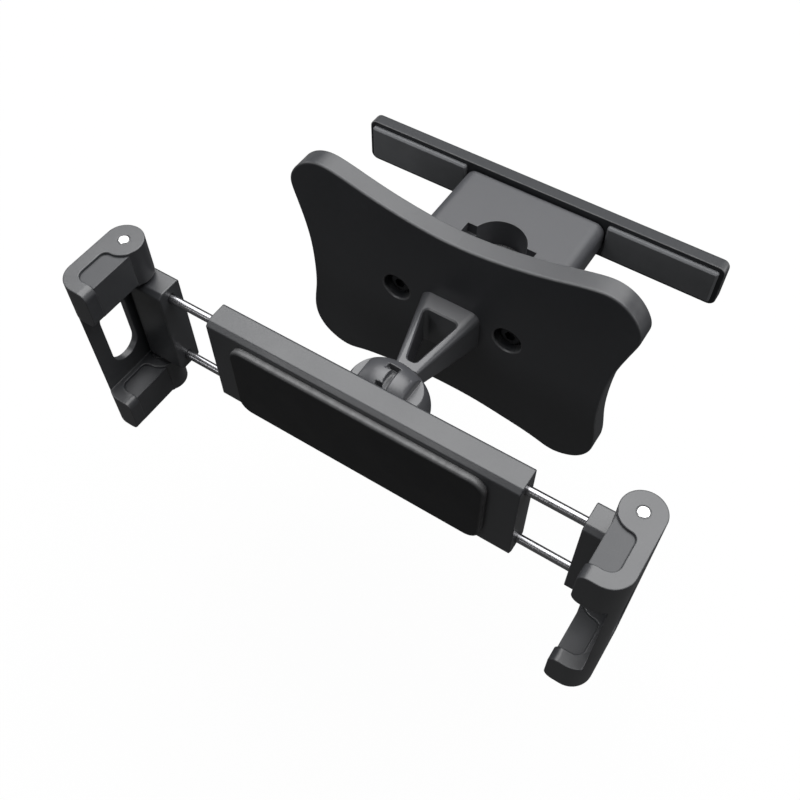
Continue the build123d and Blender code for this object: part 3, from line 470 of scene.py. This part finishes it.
def soften(node, body, material, width, reshape=None):
    """A moulding never has a sharp edge, so each one is broken by a small round, when a width is
    given.
    """
    def round_edges(source):
        if width:
            rounding = source.modifiers.new("round_edges", "BEVEL")
            rounding.width = width
            rounding.segments = 3
            rounding.limit_method = "ANGLE"
            rounding.angle_limit = SHARP_ANGLE
            rounding.use_clamp_overlap = False
        flatter = source.modifiers.new("flat_faces_stay_flat", "WEIGHTED_NORMAL")
        flatter.mode = "FACE_AREA"
        flatter.keep_sharp = True

    mesh = moulded_copy(node, reshape)
    mesh.polygons.foreach_set("use_smooth", [True] * len(mesh.polygons))
    mesh.set_sharp_from_angle(angle=SHARP_ANGLE)
    finished = plain_result(node + "_moulded", mesh, round_edges)
    carried_piece(node + "_moulded", finished, body, node, material)


def deepen_nut_grooves(form):
    """Sinks the groove round each thumb tongue to just over the bore, and widens it there."""
    for spot in form.verts:
        top = 1.0 if spot.co.z > 0.0 else -1.0
        across = spot.co.x * top
        along = spot.co.y - TONGUE_Y
        height = abs(spot.co.z)
        if height < NUT_GROOVE_FLOOR - MERGE_GAP or across < -TONGUE_OPEN_X - MERGE_GAP \
                or abs(along - NUT_GROOVE_MID) > NUT_GROOVE_HALF_LEN:
            continue
        if abs(height - NUT_GROOVE_FLOOR) < 10 * MERGE_GAP:
            spot.co.z = top * NUT_GROOVE_DEEP_FLOOR
        if across < TONGUE_WALL_X + MERGE_GAP and abs(along) < TONGUE_HALF_LEN + MERGE_GAP:
            share = (across + TONGUE_OPEN_X) / (TONGUE_WALL_X + TONGUE_OPEN_X)
            moved = across - share * TONGUE_DRAWN_IN
            if abs(height - NUT_GROOVE_FLOOR) > 10 * MERGE_GAP:
                spot.co.z = top * (height ** 2 + across ** 2 - moved ** 2) ** 0.5
            spot.co.x = top * moved


soften("front_shell", "holder", house_plastic, HOUSING_ROUND)
soften("ring_nut", "lock_nut", nut_plastic, NO_ROUND, deepen_nut_grooves)
for side in SIDES:
    soften(f"carriage_{side}", f"jaw_{side}", claw_plastic, CARRIAGE_ROUND)
    soften(f"claw_{side}", f"claw_{side}", claw_plastic, CLAW_ROUND)


# screws with a driver's cross and a rolled thread

def cross_screw_tree():
    """Countersunk screws at the source's points, with their heads towards +Y."""
    tree = bpy.data.node_groups.new("cross_screws", "GeometryNodeTree")
    tree.interface.new_socket("Geometry", in_out="INPUT", socket_type="NodeSocketGeometry")
    for label, value in COVER_SCREW_SIZES.items():
        tree.interface.new_socket(
            label, in_out="INPUT", socket_type="NodeSocketFloat").default_value = value
    tree.interface.new_socket("Steel", in_out="INPUT", socket_type="NodeSocketMaterial")
    tree.interface.new_socket("Geometry", in_out="OUTPUT", socket_type="NodeSocketGeometry")
    given = tree.nodes.new("NodeGroupInput").outputs

    def link(value, socket):
        if isinstance(value, (int, float, tuple)):
            socket.default_value = value
        else:
            tree.links.new(value, socket)

    def made(kind, output, settings=(), **sockets):
        node = tree.nodes.new(kind)
        for key, value in dict(settings).items():
            setattr(node, key, value)
        for label, value in sockets.items():
            link(value, node.inputs[label.replace("_", " ")])
        return node.outputs[output]

    def at_height(shape, height):
        place = made("ShaderNodeCombineXYZ", "Vector", Z=height)
        return made("GeometryNodeTransform", "Geometry", Geometry=shape, Translation=place)

    def combined(operation, first, others):
        node = tree.nodes.new("GeometryNodeMeshBoolean")
        node.operation = operation
        node.solver = "EXACT"
        if first is not None:
            tree.links.new(first, node.inputs["Mesh 1"])
        for other in others:
            tree.links.new(other, node.inputs["Mesh 2"])
        return node.outputs["Mesh"]

    head_height = maths(tree, "SUBTRACT", given["Head radius"], given["Shank radius"])
    head = made("GeometryNodeMeshCone", "Mesh", Vertices=48, Radius_Top=given["Head radius"],
                Radius_Bottom=given["Shank radius"], Depth=head_height)
    head = at_height(head, maths(tree, "MULTIPLY", head_height, -1.0))

    # the cross narrows towards its floor, as the driver's tip does
    reach = maths(tree, "MULTIPLY", given["Head radius"], CROSS_REACH)
    double_depth = maths(tree, "MULTIPLY", given["Cross depth"], 2.0)
    bar_height = maths(tree, "MULTIPLY", given["Cross depth"], 3.0)
    one_size = made("ShaderNodeCombineXYZ", "Vector", X=reach, Y=given["Cross width"], Z=bar_height)
    one_bar = made("GeometryNodeMeshCube", "Mesh", Size=one_size)
    other_size = made("ShaderNodeCombineXYZ", "Vector",
                      X=given["Cross width"], Y=reach, Z=bar_height)
    other_bar = made("GeometryNodeMeshCube", "Mesh", Size=other_size)
    taper = made("GeometryNodeMeshCone", "Mesh", Vertices=32,
                 Radius_Top=maths(tree, "MULTIPLY", given["Head radius"], CROSS_TOP_SHARE),
                 Radius_Bottom=maths(tree, "MULTIPLY", given["Cross width"], CROSS_FLOOR_SHARE),
                 Depth=double_depth)
    taper = at_height(taper, maths(tree, "MULTIPLY", given["Cross depth"], -1.0))
    cross = combined("INTERSECT", None, [combined("UNION", None, [one_bar, other_bar]), taper])
    head = combined("DIFFERENCE", head, [cross])

    core_radius = maths(tree, "SUBTRACT", given["Shank radius"], given["Thread depth"])
    core_length = maths(tree, "SUBTRACT", given["Length"], head_height)
    core = made("GeometryNodeMeshCone", "Mesh", Vertices=24, Radius_Top=core_radius,
                Radius_Bottom=maths(tree, "MULTIPLY", core_radius, POINT_SHARE), Depth=core_length)
    core = at_height(core, maths(tree, "MULTIPLY", given["Length"], -1.0))
    turns = maths(tree, "DIVIDE", core_length, given["Thread pitch"])
    helix = made("GeometryNodeCurveSpiral", "Curve", Resolution=14, Rotations=turns,
                 Start_Radius=maths(tree, "MULTIPLY", core_radius, THREAD_START_SHARE),
                 End_Radius=core_radius, Height=core_length)
    ridge = made("GeometryNodeCurvePrimitiveCircle", "Curve",
                 Resolution=4, Radius=given["Thread depth"])
    thread = made("GeometryNodeCurveToMesh", "Mesh",
                  Curve=helix, Profile_Curve=ridge, Fill_Caps=True)
    thread = at_height(thread, maths(tree, "MULTIPLY", given["Length"], -1.0))

    whole = tree.nodes.new("GeometryNodeJoinGeometry")
    for shape in (head, core, thread):
        tree.links.new(shape, whole.inputs["Geometry"])
    turn = tree.nodes.new("FunctionNodeRandomValue")
    turn.data_type = "FLOAT_VECTOR"
    for index, value in enumerate(((0.0, 0.0, 0.0), (0.0, 0.0, pi / 2))):
        turn.inputs[index].default_value = value
    turn.inputs["Seed"].default_value = SCREW_TURN_SEED
    placed = made("GeometryNodeInstanceOnPoints", "Instances", Points=given["Geometry"],
                  Instance=whole.outputs["Geometry"], Rotation=(-pi / 2, 0.0, 0.0))
    placed = made("GeometryNodeRotateInstances", "Instances",
                  Instances=placed, Rotation=turn.outputs["Value"])
    solid = made("GeometryNodeRealizeInstances", "Geometry", Geometry=placed)
    finished = made("GeometryNodeSetMaterial", "Geometry", Geometry=solid, Material=given["Steel"])
    tree.links.new(finished, tree.nodes.new("NodeGroupOutput").inputs["Geometry"])
    return tree


CROSS_SCREWS = cross_screw_tree()


def make_cross_screws(node, body, places, sizes):
    def place_screws(source):
        screws = source.modifiers.new("cross_screws", "NODES")
        screws.node_group = CROSS_SCREWS
        for item in CROSS_SCREWS.interface.items_tree:
            if item.name in sizes:
                screws[item.identifier] = sizes[item.name]
            elif item.name == "Steel":
                screws[item.identifier] = screw_steel

    points = bpy.data.meshes.new(node + "_points")
    points.from_pydata(places, [], [])
    mesh = plain_result(node + "_threaded", points, place_screws)
    carried_piece(node + "_threaded", mesh, body, node, screw_steel)


def four_corners(x, y, z):
    return [(x_side * x, y, z_side * z) for x_side in (-1, 1) for z_side in (-1, 1)]


make_cross_screws(
    "cover_screws", "holder",
    four_corners(COVER_CORNER_X, COVER_BACK_Y, COVER_CORNER_Z)
    + [(-COVER_SIDE_X, COVER_BACK_Y, 0.0), (COVER_SIDE_X, COVER_BACK_Y, 0.0)],
    COVER_SCREW_SIZES)
make_cross_screws(
    "arm_screws", "seat_mount",
    four_corners(ARM_SCREW_X, PLATE_BACK_Y, ARM_SCREW_Z),
    ARM_SCREW_SIZES)


# stage, lights and camera

def ray_kinds(tree):
    """Masks of the rays from the camera, and of those that a mirror or a glass sends on."""
    path = tree.nodes.new("ShaderNodeLightPath")
    sent_on = maths(
        tree, "MAXIMUM", path.outputs["Is Glossy Ray"], path.outputs["Is Transmission Ray"])
    return path.outputs["Is Camera Ray"], sent_on


def seen_brightness(tree, camera, sent_on):
    """1, which is white, to the camera, and MIRRORED_WHITE in mirrors and glass."""
    return maths(tree, "MAXIMUM", camera, maths(tree, "MULTIPLY", sent_on, MIRRORED_WHITE))


def mixed_shader(tree, share, first, second):
    both = tree.nodes.new("ShaderNodeMixShader")
    tree.links.new(share, both.inputs["Fac"])
    tree.links.new(first.outputs[0], both.inputs[1])
    tree.links.new(second.outputs[0], both.inputs[2])
    return both


def make_floor():
    mesh = bpy.data.meshes.new("floor")
    sides = ((-1, -1), (1, -1), (1, 1), (-1, 1))
    corners = [(x * FLOOR_HALF, y * FLOOR_HALF, FLOOR_Z) for x, y in sides]
    mesh.from_pydata(corners, [], [(0, 1, 2, 3)])
    floor = bpy.data.objects.new("floor", mesh)
    bpy.context.scene.collection.objects.link(floor)
    material = bpy.data.materials.new("floor_paper")
    material.use_nodes = True
    tree = material.node_tree
    tree.nodes.clear()
    camera, sent_on = ray_kinds(tree)
    paper = add_node(tree, "ShaderNodeBsdfDiffuse")
    tree.links.new(blend_colour(tree, camera, FLOOR_BOUNCE, FLOOR_PALE), paper.inputs["Color"])
    white = add_node(tree, "ShaderNodeEmission")
    white.inputs["Color"].default_value = (1.0, 1.0, 1.0, 1.0)
    tree.links.new(seen_brightness(tree, camera, sent_on), white.inputs["Strength"])
    away = add_node(tree, "ShaderNodeVectorMath", operation="LENGTH")
    tree.links.new(tree.nodes.new("ShaderNodeTexCoord").outputs["Object"], away.inputs[0])
    near = add_node(tree, "ShaderNodeMapRange", interpolation_type="SMOOTHSTEP")
    near.inputs["From Min"].default_value = SHADOW_REACH
    near.inputs["From Max"].default_value = SHADOW_END
    near.inputs["To Min"].default_value = 1.0 - SHADOW_SHARE
    near.inputs["To Max"].default_value = 1.0
    tree.links.new(away.outputs["Value"], near.inputs["Value"])
    seen = maths(tree, "MAXIMUM", maths(tree, "MULTIPLY", camera, near.outputs["Result"]), sent_on)
    both = mixed_shader(tree, seen, paper, white)
    # from below the paper isn't there, so that the underside can be looked at
    below = tree.nodes.new("ShaderNodeNewGeometry").outputs["Backfacing"]
    seen_from_below = maths(tree, "MULTIPLY", below, camera)
    both = mixed_shader(tree, seen_from_below, both, tree.nodes.new("ShaderNodeBsdfTransparent"))
    output = tree.nodes.new("ShaderNodeOutputMaterial")
    tree.links.new(both.outputs[0], output.inputs["Surface"])
    mesh.materials.append(material)


def make_world():
    world = bpy.data.worlds.new("studio")
    world.use_nodes = True
    tree = world.node_tree
    tree.nodes.clear()
    camera, sent_on = ray_kinds(tree)
    room = add_node(tree, "ShaderNodeBackground")
    room.inputs["Color"].default_value = (1.0, 1.0, 1.0, 1.0)
    tree.links.new(maths(tree, "MAXIMUM", seen_brightness(tree, camera, sent_on), ROOM_LIGHT),
                   room.inputs["Strength"])
    output = tree.nodes.new("ShaderNodeOutputWorld")
    tree.links.new(room.outputs[0], output.inputs["Surface"])
    bpy.context.scene.world = world


def make_lamp(name, place, width, depth, power):
    light = bpy.data.lights.new(name, "AREA")
    light.shape = "RECTANGLE"
    light.size = width
    light.size_y = depth
    light.energy = power
    lamp = bpy.data.objects.new(name, light)
    bpy.context.scene.collection.objects.link(lamp)
    lamp.location = place
    lamp.rotation_euler = (Vector(LAMP_AIM) - Vector(place)).to_track_quat("-Z", "Y").to_euler()


def make_camera():
    lens = bpy.data.cameras.new("camera")
    lens.sensor_width = SENSOR_MM
    lens.lens = FOCAL_PIXELS / PHOTO_PIXELS * SENSOR_MM
    lens.clip_start = 0.01
    lens.clip_end = 50.0
    camera = bpy.data.objects.new("camera", lens)
    bpy.context.scene.collection.objects.link(camera)
    look = (CAMERA_TARGET - CAMERA_PLACE).to_track_quat("-Z", "Y").to_matrix()
    turn = look @ Matrix.Rotation(CAMERA_ROLL, 3, "Z")
    camera.matrix_world = Matrix.Translation(CAMERA_PLACE) @ turn.to_4x4()
    bpy.context.scene.camera = camera


make_floor()
make_world()
make_lamp("overhead_soft_box", (-0.06, 0.36, 1.20), 2.0, 1.5, 31.0)
make_lamp("front_strip", (-0.46, -1.10, 0.70), 0.45, 0.35, 1.8)
make_lamp("left_fill", (-1.3, 0.1, 0.4), 0.5, 0.5, 1.0)
make_lamp("right_fill", (1.3, 0.1, 0.4), 0.5, 0.5, 1.4)
make_camera()
bpy.context.scene.view_settings.view_transform = "Standard"
